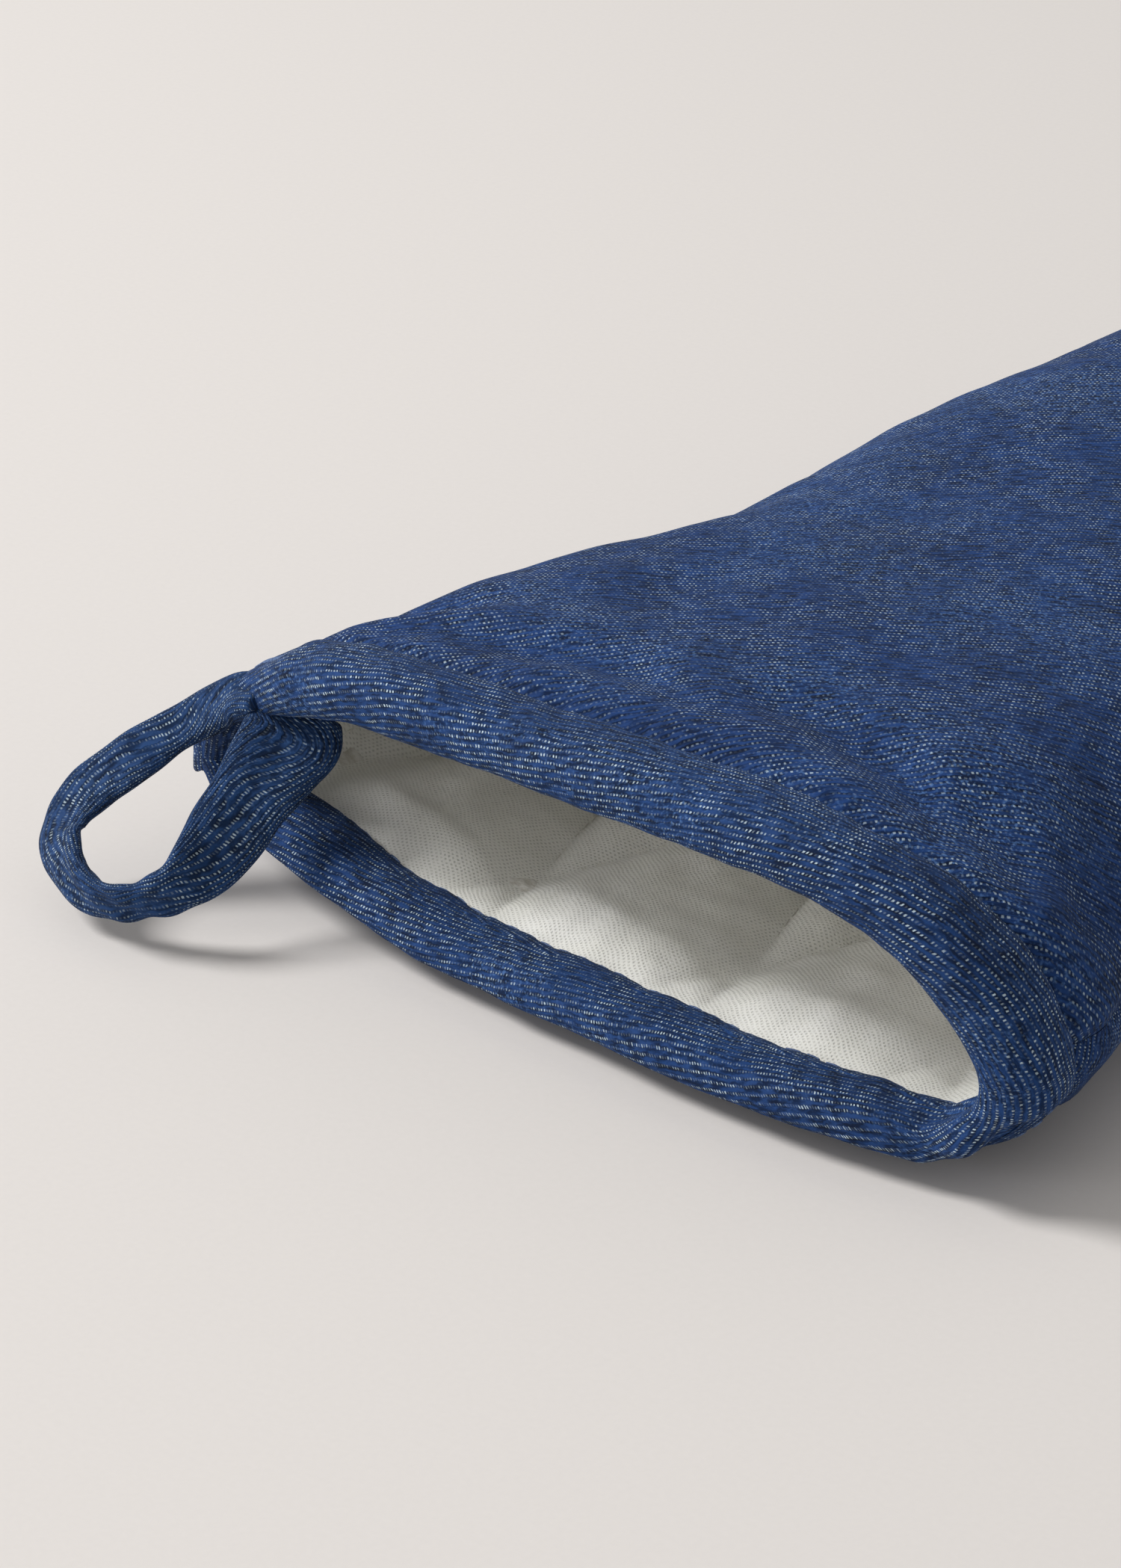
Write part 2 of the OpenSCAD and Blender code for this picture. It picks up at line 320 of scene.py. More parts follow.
def hand_form(name, depth, voxel):
    """The pocket and the thumb as one closed skin, sunk by depth, with the cuff cut open."""
    overrun = 0.016
    tip = mitt_length - depth
    round_start = mitt_length - fingertip_round
    rings = [[p - Vector((0, overrun, 0)) for p in ring_at(0, depth)]]
    rings += [ring_at(round_start * i / 40, depth) for i in range(41)]
    for i in range(1, 17):
        angle = math.radians(84 * i / 16)
        along = mix(round_start, tip, math.sin(angle) / math.sin(math.radians(84)))
        rings.append(ring_at(along, depth, math.cos(angle)))
    bm = bmesh.new()
    loft(bm, rings)
    cap_ends(bm)
    bmesh.ops.recalc_face_normals(bm, faces=bm.faces)
    thumb = bmesh.new()
    for share, radius in zip((0.0, 1.0), thumb_radii):
        spot = Vector(
            (
                thumb_root[0] + thumb_reach * math.sin(thumb_angle) * share,
                thumb_root[1] + thumb_reach * math.cos(thumb_angle) * share,
                thumb_half_height - 0.001,
            )
        )
        size = Matrix.Diagonal((radius - depth, radius - depth, thumb_half_height - depth, 1))
        bmesh.ops.create_icosphere(thumb, subdivisions=4, radius=1, matrix=Matrix.Translation(spot) @ size)
    hull = bmesh.ops.convex_hull(thumb, input=thumb.verts)
    bmesh.ops.delete(thumb, geom=hull["geom_interior"], context="VERTS")
    joined = bpy.data.meshes.new("thumb")
    thumb.to_mesh(joined)
    thumb.free()
    bm.from_mesh(joined)
    bpy.data.meshes.remove(joined)
    form = object_from(bm, name)
    remesh = form.modifiers.new("remesh", "REMESH")
    remesh.mode = "VOXEL"
    remesh.voxel_size = voxel
    apply_modifiers(form)
    bm = bmesh.new()
    bm.from_mesh(form.data)
    for _ in range(4):
        bmesh.ops.smooth_vert(
            bm, verts=bm.verts, factor=0.5, use_axis_x=True, use_axis_y=True, use_axis_z=True
        )
    bmesh.ops.bisect_plane(
        bm,
        geom=bm.verts[:] + bm.edges[:] + bm.faces[:],
        plane_co=(0, 0.006, 0),
        plane_no=(0, -1, 0),
        clear_outer=True,
    )
    for vert in bm.verts:
        vert.co.z = max(vert.co.z, floor_z(vert.co.y) + depth)
    bm.to_mesh(form.data)
    bm.free()
    return form


def point_array(made):
    flat = np.empty(len(made.data.vertices) * 3)
    made.data.vertices.foreach_get("co", flat)
    return flat.reshape(-1, 3)


def set_points(made, points):
    made.data.vertices.foreach_set("co", np.asarray(points, float).ravel())
    made.data.update()


def plump(made, cap):
    """Swells the cloth with pressure, with the cuff held, moving no point further than cap."""
    before = point_array(made)
    held = made.vertex_groups.new(name="held")
    for vert in made.data.vertices:
        grip = 1 - ease((vert.co.y - 0.010) / 0.012)
        if grip > 0:
            held.add([vert.index], grip, "REPLACE")
    cloth = made.modifiers.new("cloth", "CLOTH")
    cloth.settings.quality = 6
    cloth.settings.mass = 0.4
    cloth.settings.tension_stiffness = 25
    cloth.settings.compression_stiffness = 25
    cloth.settings.bending_stiffness = 1.2
    cloth.settings.use_pressure = True
    cloth.settings.uniform_pressure_force = 4
    cloth.settings.effector_weights.gravity = 0
    cloth.settings.vertex_group_mass = "held"
    cloth.point_cache.frame_start = 1
    cloth.point_cache.frame_end = 20
    for step in range(1, 21):
        bpy.context.scene.frame_set(step)
    apply_modifiers(made)
    bpy.context.scene.frame_set(1)
    move = point_array(made) - before
    length = np.linalg.norm(move, axis=1, keepdims=True)
    after = before + move * np.minimum(1, cap / np.maximum(length, 1e-9))
    low = np.array([floor_z(y) for y in after[:, 1]])
    after[:, 2] = np.maximum(after[:, 2], low)
    set_points(made, after)
    made.vertex_groups.clear()


hand = hand_form("hand", 0.0008, 0.0045)
plump(hand, 0.0028)


def waves(point, size, seed):
    """Smooth unevenness from -1 to 1, in soft patches of this size."""
    return noise.noise(Vector(point) / size + Vector((seed, 0, 0)))


def cut_at_seam(bm, levels):
    """Adds edges along the side seam, and beside it, so that the seam can sink."""
    normal = Vector((-seam_lean, 0, 1)).normalized()
    for level in levels:
        bmesh.ops.bisect_plane(
            bm,
            geom=bm.verts[:] + bm.edges[:] + bm.faces[:],
            dist=1e-5,
            plane_co=Vector((0, 0, seam_height)) + normal * level,
            plane_no=normal,
        )
    return normal


def panel_from(form, name, side):
    """The part of the form above (side 1) or below (side -1) the seam, its edge turned in."""
    bm = bmesh.new()
    bm.from_mesh(form.data)
    normal = cut_at_seam(bm, (0.0, 0.0012, -0.0012, 0.003, -0.003))
    bm.normal_update()
    reach = {v: (v.co - Vector((0, 0, seam_height))).dot(normal) for v in bm.verts}
    gone = [f for f in bm.faces if side * sum(reach[v] for v in f.verts) / len(f.verts) < 0]
    bmesh.ops.delete(bm, geom=gone, context="FACES")
    lone = [v for v in bm.verts if not v.link_faces]
    bmesh.ops.delete(bm, geom=lone, context="VERTS")
    bm.normal_update()
    moves = {}
    for vert in bm.verts:
        level = abs((vert.co - Vector((0, 0, seam_height))).dot(normal))
        sink = 0.0015 * math.exp(-((level / 0.0018) ** 2))
        flat = Vector((vert.normal.x, vert.normal.y, 0))
        if sink > 1e-5 and flat.length > 0.05:
            moves[vert] = flat.normalized() * -sink
    for vert, move in moves.items():
        vert.co += move
    bmesh.ops.triangulate(bm, faces=[f for f in bm.faces if len(f.verts) > 4])
    return object_from(bm, name)


def weave_map(panel):
    """Unrolls the panel flat and maps it in metres, with V along the mitt, as it was cut."""
    bpy.ops.object.select_all(action="DESELECT")
    panel.select_set(True)
    bpy.context.view_layer.objects.active = panel
    panel.data.uv_layers.new(name="weave")
    bpy.ops.object.mode_set(mode="EDIT")
    bpy.ops.mesh.select_all(action="SELECT")
    bpy.ops.uv.unwrap(method="ANGLE_BASED", margin=0)
    bpy.ops.object.mode_set(mode="OBJECT")
    layer = panel.data.uv_layers["weave"]
    uv = np.empty(len(layer.data) * 2)
    layer.data.foreach_get("uv", uv)
    uv = uv.reshape(-1, 2)
    corner = np.empty(len(panel.data.loops), int)
    panel.data.loops.foreach_get("vertex_index", corner)
    points = point_array(panel)[corner]
    flat = np.abs(np.array([panel.data.vertices[i].normal.z for i in corner])) > 0.93
    plan = points[flat][:, :2]
    middle, centre = plan.mean(0), uv[flat].mean(0)
    turn, _, _, _ = np.linalg.lstsq(uv[flat] - centre, plan - middle, rcond=None)
    layer.data.foreach_set("uv", ((uv - centre) @ turn + middle).ravel())


def smooth_shade(made):
    made.data.polygons.foreach_set("use_smooth", [True] * len(made.data.polygons))


def refine(made, levels):
    """Rounds the mesh by subdivision."""
    finer = made.modifiers.new("finer", "SUBSURF")
    finer.levels = levels
    finer.render_levels = levels
    apply_modifiers(made)


def hand_surface(made):
    """Gives the cloth its soft dents and the gathers beside the binding, then sets it down."""
    normals = np.empty(len(made.data.vertices) * 3)
    made.data.vertices.foreach_get("normal", normals)
    normals = normals.reshape(-1, 3)
    points = point_array(made)
    placed = []
    seam_normal = Vector((-seam_lean, 0, 1)).normalized()
    for point, normal in zip(points, normals):
        y = point[1]
        along = (point[0], y * 0.55, point[2])
        dent = 0.0011 * waves(along, 0.030, 3) + 0.0005 * waves(point, 0.012, 8)
        calm = ease((y - 0.012) / 0.03)
        gather = 0.0007 * waves((point[0], y * 0.25, point[2]), 0.0075, 5)
        gather *= (1 - ease((y - 0.016) / 0.022)) * ease((y - 0.009) / 0.004)
        ditch = -0.0022 * math.exp(-(((y - 0.0115) / 0.0025) ** 2))
        swell = 0.0016 * math.exp(-(((y - 0.023) / 0.009) ** 2))
        if normal[2] < -0.6:
            dent, gather, swell = 0.25 * dent, 0.0, 0.0
        push = Vector(normal) * (dent * calm + gather + ditch + swell)
        level = (Vector(point) - Vector((0, 0, seam_height))).dot(seam_normal)
        push -= seam_normal * push.dot(seam_normal) * (1 - ease(abs(level) / 0.0045))
        moved = Vector(point) + push
        moved.z = max(moved.z, floor_z(y) + 0.0001)
        placed.append(place_on_table(moved))
    set_points(made, [tuple(p) for p in placed])
    smooth_shade(made)


def group_sockets(name, inputs, outputs):
    """A new shader node group with these named sockets, and its input and output nodes."""
    tree = bpy.data.node_groups.new(name, "ShaderNodeTree")
    for label, kind, value in inputs:
        socket = tree.interface.new_socket(name=label, in_out="INPUT", socket_type="NodeSocket" + kind)
        if value is not None:
            socket.default_value = value
    for label, kind in outputs:
        tree.interface.new_socket(name=label, in_out="OUTPUT", socket_type="NodeSocket" + kind)
    return tree, tree.nodes.new("NodeGroupInput"), tree.nodes.new("NodeGroupOutput")


twill, twill_in, twill_out = group_sockets(
    "denim_twill",
    [
        ("Cloth", "Vector", None),
        ("Wale spacing", "Float", 0.0013),
        ("Weft spacing", "Float", 0.0006),
        ("Weft showing", "Float", 1.0),
        ("Bloom", "Float", 0.3),
        ("Shade", "Color", srgb(10, 24, 58)),
        ("Blue", "Color", srgb(52, 88, 146)),
        ("Weft", "Color", srgb(192, 210, 220)),
    ],
    [("Color", "Color"), ("Height", "Float"), ("Roughness", "Float")],
)
cloth_spot = twill_in.outputs["Cloth"]
bend = add_node(twill, "TexNoise", Vector=cloth_spot, Scale=75.0, Detail=1.0)
bend_off = add_node(
    twill, "VectorMath", {"operation": "SUBTRACT"}, at0=bend.outputs["Color"], at1=(0.5, 0.5, 0.5)
)
bend_size = add_node(twill, "VectorMath", {"operation": "SCALE"}, at0=bend_off.outputs[0], Scale=0.0009)
shake = add_node(twill, "TexNoise", Vector=cloth_spot, Scale=1300.0, Detail=1.0)
shake_off = add_node(
    twill, "VectorMath", {"operation": "SUBTRACT"}, at0=shake.outputs["Color"], at1=(0.5, 0.5, 0.5)
)
shake_size = add_node(twill, "VectorMath", {"operation": "SCALE"}, at0=shake_off.outputs[0], Scale=0.00040)
bent = add_node(twill, "VectorMath", {"operation": "ADD"}, at0=cloth_spot, at1=bend_size.outputs[0])
bent = add_node(twill, "VectorMath", {"operation": "ADD"}, at0=bent.outputs[0], at1=shake_size.outputs[0])
parts = add_node(twill, "SeparateXYZ", Vector=bent.outputs[0])
wale = calc(twill, "DIVIDE", parts.outputs["Y"], twill_in.outputs["Wale spacing"])
pick = calc(twill, "DIVIDE", parts.outputs["X"], twill_in.outputs["Weft spacing"])
wale_row = calc(twill, "FLOOR", wale)
wale_part = calc(twill, "FRACT", wale)
valley = calc(twill, "PINGPONG", wale_part, 0.5)
valley = calc(twill, "MULTIPLY", valley, 2.0)
pick = calc(twill, "MULTIPLY_ADD", wale_row, 0.37, pick)
pick_row = calc(twill, "FLOOR", pick)
dot = calc(twill, "MULTIPLY", calc(twill, "PINGPONG", pick, 0.5), 2.0)
dot_cell = add_node(twill, "CombineXYZ", X=pick_row, Y=wale_row)
dot_luck = add_node(twill, "TexWhiteNoise", {"noise_dimensions": "2D"}, Vector=dot_cell.outputs[0])


def ramp(tree, value, low, high, bottom=0.0, top=1.0):
    """A smooth rise of the value from bottom to top, between low and high."""
    made = add_node(
        tree,
        "MapRange",
        {"interpolation_type": "SMOOTHSTEP"},
        at0=value,
        at1=low,
        at2=high,
        at3=bottom,
        at4=top,
    )
    return made.outputs[0]


valley_mask = ramp(twill, valley, 0.52, 0.84)
dot_mask = ramp(twill, dot, 0.40, 0.70)
luck = ramp(twill, dot_luck.outputs["Value"], 0.10, 0.90, 0.12, 1.0)
patches = add_node(twill, "TexNoise", Vector=cloth_spot, Scale=110.0, Detail=3.0)
patch_mask = ramp(twill, patches.outputs["Fac"], 0.36, 0.62, 0.22, 1.0)
weft_mask = calc(twill, "MULTIPLY", valley_mask, dot_mask)
weft_mask = calc(twill, "MULTIPLY", weft_mask, luck)
weft_mask = calc(twill, "MULTIPLY", weft_mask, patch_mask)
weft_mask = calc(twill, "MULTIPLY", weft_mask, twill_in.outputs["Weft showing"])
warp_turn = add_node(
    twill, "Mapping", Vector=bent.outputs[0], Rotation=(0, 0, math.radians(52)), Scale=(330.0, 1500.0, 1.0)
)
warp = add_node(twill, "TexNoise", Vector=warp_turn.outputs[0], Scale=1.0, Detail=2.0)
warp_tone = ramp(twill, warp.outputs["Fac"], 0.35, 0.64)
slub_turn = add_node(
    twill, "Mapping", Vector=cloth_spot, Rotation=(0, 0, math.radians(52)), Scale=(22.0, 800.0, 1.0)
)
slub = add_node(twill, "TexNoise", Vector=slub_turn.outputs[0], Scale=1.0, Detail=3.0)
slub_tone = ramp(twill, slub.outputs["Fac"], 0.35, 0.68)
mottle = add_node(twill, "TexNoise", Vector=cloth_spot, Scale=45.0, Detail=4.0)
mottle_tone = ramp(twill, mottle.outputs["Fac"], 0.32, 0.68)
tone = calc(twill, "MULTIPLY", warp_tone, 0.62)
tone = calc(twill, "MULTIPLY_ADD", slub_tone, 0.12, tone)
tone = calc(twill, "MULTIPLY_ADD", mottle_tone, 0.16, tone)
# Painted shade: each wale is coloured a little lighter on its crest and darker in the groove beside it, on
# top of the bump.
tone = calc(twill, "MULTIPLY_ADD", calc(twill, "SUBTRACT", 1.0, valley), 0.14, tone)
blue = add_node(
    twill,
    "Mix",
    {"data_type": "RGBA"},
    Factor=tone,
    at6=twill_in.outputs["Shade"],
    at7=twill_in.outputs["Blue"],
)
fuzz = add_node(twill, "TexNoise", Vector=cloth_spot, Scale=1500.0, Detail=3.0)
fuzz_tone = ramp(twill, fuzz.outputs["Fac"], 0.50, 0.72)
bloom_patch = add_node(twill, "TexNoise", Vector=cloth_spot, Scale=30.0, Detail=3.0)
bloom_tone = calc(twill, "MULTIPLY", fuzz_tone, ramp(twill, bloom_patch.outputs["Fac"], 0.40, 0.64))
bloom_tone = calc(twill, "MULTIPLY", bloom_tone, twill_in.outputs["Bloom"])
worn = add_node(
    twill, "Mix", {"data_type": "RGBA"}, Factor=bloom_tone, at6=blue.outputs[2], at7=srgb(84, 122, 178)
)
shown = add_node(
    twill, "Mix", {"data_type": "RGBA"}, Factor=weft_mask, at6=worn.outputs[2], at7=twill_in.outputs["Weft"]
)
relief = calc(twill, "MULTIPLY", calc(twill, "SUBTRACT", 1.0, valley_mask), 0.45)
relief = calc(twill, "MULTIPLY_ADD", warp_tone, 0.35, relief)
relief = calc(twill, "MULTIPLY_ADD", weft_mask, 0.30, relief)
relief = calc(twill, "MULTIPLY_ADD", fuzz_tone, 0.15, relief)
twill.links.new(shown.outputs[2], twill_out.inputs["Color"])
twill.links.new(relief, twill_out.inputs["Height"])
twill.links.new(ramp(twill, warp_tone, 0.0, 1.0, 0.95, 0.78), twill_out.inputs["Roughness"])


def denim(name, turn, wale_spacing, weft_spacing, weft_showing, bloom, shade, blue_tone, bump=0.00022):
    """A twill denim, its wales turned by this angle from U on the piece's own map."""
    made, tree, shader = new_material(name, 0.85)
    cloth_map = add_node(tree, "UVMap", {"uv_map": "weave"}).outputs[0]
    turned = add_node(tree, "Mapping", Vector=cloth_map, Rotation=(0, 0, -math.radians(turn)))
    weave = add_node(tree, "Group", {"node_tree": twill})
    tree.links.new(turned.outputs[0], weave.inputs["Cloth"])
    weave.inputs["Wale spacing"].default_value = wale_spacing
    weave.inputs["Weft spacing"].default_value = weft_spacing
    weave.inputs["Weft showing"].default_value = weft_showing
    weave.inputs["Bloom"].default_value = bloom
    weave.inputs["Shade"].default_value = shade
    weave.inputs["Blue"].default_value = blue_tone
    lump = add_node(tree, "Bump", Height=weave.outputs["Height"], Strength=0.8, Distance=bump)
    tree.links.new(weave.outputs["Color"], shader.inputs["Base Color"])
    tree.links.new(weave.outputs["Roughness"], shader.inputs["Roughness"])
    tree.links.new(lump.outputs[0], shader.inputs["Normal"])
    shader.inputs["Specular IOR Level"].default_value = 0.25
    shader.inputs["Sheen Weight"].default_value = 0.03
    shader.inputs["Sheen Roughness"].default_value = 0.45
    shader.inputs["Sheen Tint"].default_value = srgb(150, 175, 215)
    return made


body_denim = denim(
    "body_denim", 42, 0.00098, 0.00066, 0.66, 0.7, srgb(0, 6, 23), srgb(20, 61, 121)
)
for name, side, node in (("denim_back", 1, "back_shell"), ("denim_palm", -1, "palm_shell")):
    panel = panel_from(hand, name, side)
    weave_map(panel)
    refine(panel, 1)
    hand_surface(panel)
    panel.data.materials.append(body_denim)
    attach(panel, "mitt")
    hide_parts(node)


# The batting: a quilted layer of white cotton wadding behind each panel, cut a little short
# of the seams. The denim and the lining cover it, so it shows only if the mitt is cut open.
def inner_layer(form, name, side, sink, thickness, gap):
    """A closed layer that follows the form at this depth, on one side of the seam."""
    bm = bmesh.new()
    bm.from_mesh(form.data)
    normal = Vector((-seam_lean, 0, 1)).normalized()
    bmesh.ops.bisect_plane(
        bm,
        geom=bm.verts[:] + bm.edges[:] + bm.faces[:],
        plane_co=Vector((0, 0, seam_height)) + normal * gap * side,
        plane_no=normal * -side,
        clear_outer=True,
    )
    bmesh.ops.bisect_plane(
        bm,
        geom=bm.verts[:] + bm.edges[:] + bm.faces[:],
        plane_co=(0, 0.0165, 0),
        plane_no=(0, -1, 0),
        clear_outer=True,
    )
    layer = object_from(bm, name)
    push = layer.modifiers.new("push", "DISPLACE")
    push.strength = -sink
    push.mid_level = 0.0
    thick = layer.modifiers.new("thick", "SOLIDIFY")
    thick.thickness = thickness
    thick.offset = -1.0
    apply_modifiers(layer)
    set_points(layer, [tuple(place_on_table(Vector(p))) for p in point_array(layer)])
    smooth_shade(layer)
    return layer


wadding, wadding_tree, wadding_shader = new_material("cotton_wadding", 0.97)
wadding_spot = add_node(wadding_tree, "TexCoord").outputs["Object"]
tufts = add_node(wadding_tree, "TexNoise", Vector=wadding_spot, Scale=650.0, Detail=5.0)
wadding_tint = add_node(
    wadding_tree,
    "Mix",
    {"data_type": "RGBA"},
    Factor=ramp(wadding_tree, tufts.outputs["Fac"], 0.35, 0.65),
    at6=srgb(214, 210, 200),
    at7=srgb(243, 241, 235),
)
wadding_lump = add_node(wadding_tree, "Bump", Height=tufts.outputs["Fac"], Strength=0.7, Distance=0.0006)
wadding_tree.links.new(wadding_tint.outputs[2], wadding_shader.inputs["Base Color"])
wadding_tree.links.new(wadding_lump.outputs[0], wadding_shader.inputs["Normal"])
for name, side, node in (("batting_back", 1, "back_batting"), ("batting_palm", -1, "palm_batting")):
    layer = inner_layer(hand, name, side, 0.0023, 0.0009, 0.0042)
    layer.data.materials.append(wadding)
    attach(layer, "mitt")
    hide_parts(node)
bpy.data.objects.remove(hand)


# The lining: an undyed open cotton weave, quilted to the batting in diamonds, so that it puffs
# up between the lines of stitching and dives at each one.
quilt_pitch = 0.043
quilt_angle = math.radians(18)
quilt_lean = math.tan(quilt_angle)
quilt_start = (0.015, 2.5 * binding_depth)
puff_height = 0.0048


def quilt_lines(x, y):
    """Distances from a point to the nearest line of quilting of each slant."""
    found = []
    for slope in (-1, 1):
        lean = slope * quilt_lean * (y - quilt_start[1])
        across = (x - quilt_start[0] - lean) / quilt_pitch
        found.append(abs(across - round(across)) * quilt_pitch * math.cos(quilt_angle))
    return found


def quilt_puff(x, y):
    """Height of the lining above the bottom of its stitched lines."""
    one, two = (1 - math.exp(-d / 0.0055) for d in quilt_lines(x, y))
    return puff_height * one * two


lining_form = hand_form("lining_form", wall - 0.0002, 0.0036)
gauze_group, gauze_in, gauze_out = group_sockets(
    "gauze_weave",
    [("Cloth", "Vector", None), ("Spacing", "Float", 0.00065), ("Thread", "Color", srgb(253, 252, 247))],
    [("Color", "Color"), ("Height", "Float")],
)
gauze_spot = gauze_in.outputs["Cloth"]
drift = add_node(gauze_group, "TexNoise", Vector=gauze_spot, Scale=160.0, Detail=2.0)
drift_off = add_node(
    gauze_group, "VectorMath", {"operation": "SUBTRACT"}, at0=drift.outputs["Color"], at1=(0.5, 0.5, 0.5)
)
drift_size = add_node(
    gauze_group, "VectorMath", {"operation": "SCALE"}, at0=drift_off.outputs[0], Scale=0.0012
)
drifted = add_node(gauze_group, "VectorMath", {"operation": "ADD"}, at0=gauze_spot, at1=drift_size.outputs[0])
gauze_parts = add_node(gauze_group, "SeparateXYZ", Vector=drifted.outputs[0])
course = calc(gauze_group, "DIVIDE", gauze_parts.outputs["Y"], gauze_in.outputs["Spacing"])
course_row = calc(gauze_group, "FLOOR", course)
thread_across = calc(gauze_group, "DIVIDE", gauze_parts.outputs["X"], gauze_in.outputs["Spacing"])
thread_across = calc(gauze_group, "MULTIPLY_ADD", course_row, 0.5, thread_across)
gap_a = calc(gauze_group, "MULTIPLY", calc(gauze_group, "PINGPONG", course, 0.5), 2.0)
gap_b = calc(gauze_group, "MULTIPLY", calc(gauze_group, "PINGPONG", thread_across, 0.5), 2.0)
gap_a = ramp(gauze_group, gap_a, 0.25, 0.8)
gap_b = ramp(gauze_group, gap_b, 0.35, 0.85)
gap_mask = calc(gauze_group, "MULTIPLY", gap_a, gap_b)
gap_noise = add_node(gauze_group, "TexNoise", Vector=gauze_spot, Scale=700.0, Detail=2.0)
gap_uneven = ramp(gauze_group, gap_noise.outputs["Fac"], 0.3, 0.62, 0.45, 1.0)
gap_mask = calc(gauze_group, "MULTIPLY", gap_mask, gap_uneven)
soft_patch = add_node(gauze_group, "TexNoise", Vector=gauze_spot, Scale=60.0, Detail=3.0)
thread_tone = add_node(
    gauze_group,
    "Mix",
    {"data_type": "RGBA"},
    Factor=ramp(gauze_group, soft_patch.outputs["Fac"], 0.35, 0.65),
    at6=srgb(248, 247, 240),
    at7=gauze_in.outputs["Thread"],
)
# Painted shade: the holes between the threads are painted a dull grey, for the shade inside the open weave.
gap_shade = calc(gauze_group, "MULTIPLY", gap_mask, 0.30)
gauze_tone = add_node(
    gauze_group,
    "Mix",
    {"data_type": "RGBA"},
    Factor=gap_shade,
    at6=thread_tone.outputs[2],
    at7=srgb(120, 118, 108),
)
gauze_group.links.new(gauze_tone.outputs[2], gauze_out.inputs["Color"])
gauze_group.links.new(calc(gauze_group, "SUBTRACT", 1.0, gap_mask), gauze_out.inputs["Height"])

lining_cloth, lining_tree, lining_shader = new_material("lining_gauze", 0.95)
lining_map = add_node(lining_tree, "TexCoord").outputs["Object"]
lining_turn = add_node(lining_tree, "Mapping", Vector=lining_map, Rotation=(0, 0, math.radians(38)))
gauze = add_node(lining_tree, "Group", {"node_tree": gauze_group})
lining_tree.links.new(lining_turn.outputs[0], gauze.inputs["Cloth"])
lining_tree.links.new(gauze.outputs["Color"], lining_shader.inputs["Base Color"])
lining_lump = add_node(lining_tree, "Bump", Height=gauze.outputs["Height"], Strength=0.7, Distance=0.00015)
lining_tree.links.new(lining_lump.outputs[0], lining_shader.inputs["Normal"])
lining_shader.inputs["Specular IOR Level"].default_value = 0.15

for name, side, node in (("lining_back", 1, "back_lining"), ("lining_palm", -1, "palm_lining")):
    bm = bmesh.new()
    bm.from_mesh(lining_form.data)
    seam_normal = Vector((-seam_lean, 0, 1)).normalized()
    bmesh.ops.bisect_plane(
        bm,
        geom=bm.verts[:] + bm.edges[:] + bm.faces[:],
        plane_co=(0, 0, seam_height),
        plane_no=seam_normal * -side,
        clear_outer=True,
    )
    near = [f for f in bm.faces if f.calc_center_median().y < 0.150]
    near_edges = list({e for f in near for e in f.edges})
    bmesh.ops.subdivide_edges(bm, edges=near_edges, cuts=1, use_grid_fill=True, smooth=0.0)
    lining = object_from(bm, name)
    refine(lining, 1)
    normals = np.empty(len(lining.data.vertices) * 3)
    lining.data.vertices.foreach_get("normal", normals)
    placed = []
    for point, normal in zip(point_array(lining), normals.reshape(-1, 3)):
        spot, out = Vector(point), Vector(normal)
        edge_calm = ease((spot.y - 0.009) / 0.014)
        inward = quilt_puff(spot.x, spot.y) * edge_calm * min(1.0, abs(out.z) * 1.4)
        inward += 0.0028 * ease((spot.y - 0.045) / 0.030) * (1 - min(1.0, abs(out.z) * 1.4))
        crease = 0.0009 * waves((spot.x, spot.y * 0.5, spot.z), 0.013, 12) * edge_calm
        crease += 0.0004 * waves(spot, 0.006, 14)
        placed.append(tuple(place_on_table(spot - out * (inward + crease))))
    set_points(lining, placed)
    skin = lining.modifiers.new("skin", "SOLIDIFY")
    skin.thickness = 0.0004
    skin.offset = 1.0
    apply_modifiers(lining)
    smooth_shade(lining)
    lining.data.materials.append(lining_cloth)
    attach(lining, "mitt")
    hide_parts(node)
bpy.data.objects.remove(lining_form)


# The binding: a bias strip of the same denim, folded over the raw edge of every layer and sewn
# through, so that it makes a full round roll with soft puckers. It is pinched at the thumb side.
binding_profile = (
    (11.2, -0.1), (10.6, -1.0), (9.4, -1.7), (7.6, -2.1), (5.4, -2.2), (3.2, -2.2), (1.4, -2.0),
    (-0.2, -1.4), (-1.3, -0.5), (-2.0, 0.8), (-2.3, 2.3), (-2.3, 3.7), (-2.0, 5.2), (-1.3, 6.5),
    (-0.2, 7.3), (1.4, 7.8), (3.2, 7.9), (5.4, 7.9), (7.6, 7.6), (9.4, 7.1), (10.6, 6.5), (11.0, 5.5),
    (9.0, 4.6), (5.0, 3.8), (5.0, 2.0), (9.0, 1.1),
)
binding_sides = 360


def even_ring(points, count):
    """The closed line of points, evenly spaced, with its length."""
    line = np.array([tuple(p) for p in points] + [tuple(points[0])])
    steps = np.linalg.norm(np.diff(line, axis=0), axis=1)
    run = np.concatenate([[0], np.cumsum(steps)])
    marks = np.linspace(0, run[-1], count, endpoint=False)
    spots = [Vector([float(np.interp(m, run, line[:, axis])) for axis in range(3)]) for m in marks]
    return spots, float(run[-1])


def cuff_ring(y, depth, sides=binding_sides):
    """Evenly spaced points round the cuff at y, sunk by depth; y below 0 is past the edge."""
    spots, length = even_ring(ring_at(max(0.0, y), depth, 1.0, 720), sides)
    return [place_on_table(p) + Vector((0, min(0.0, y), 0)) for p in spots], length


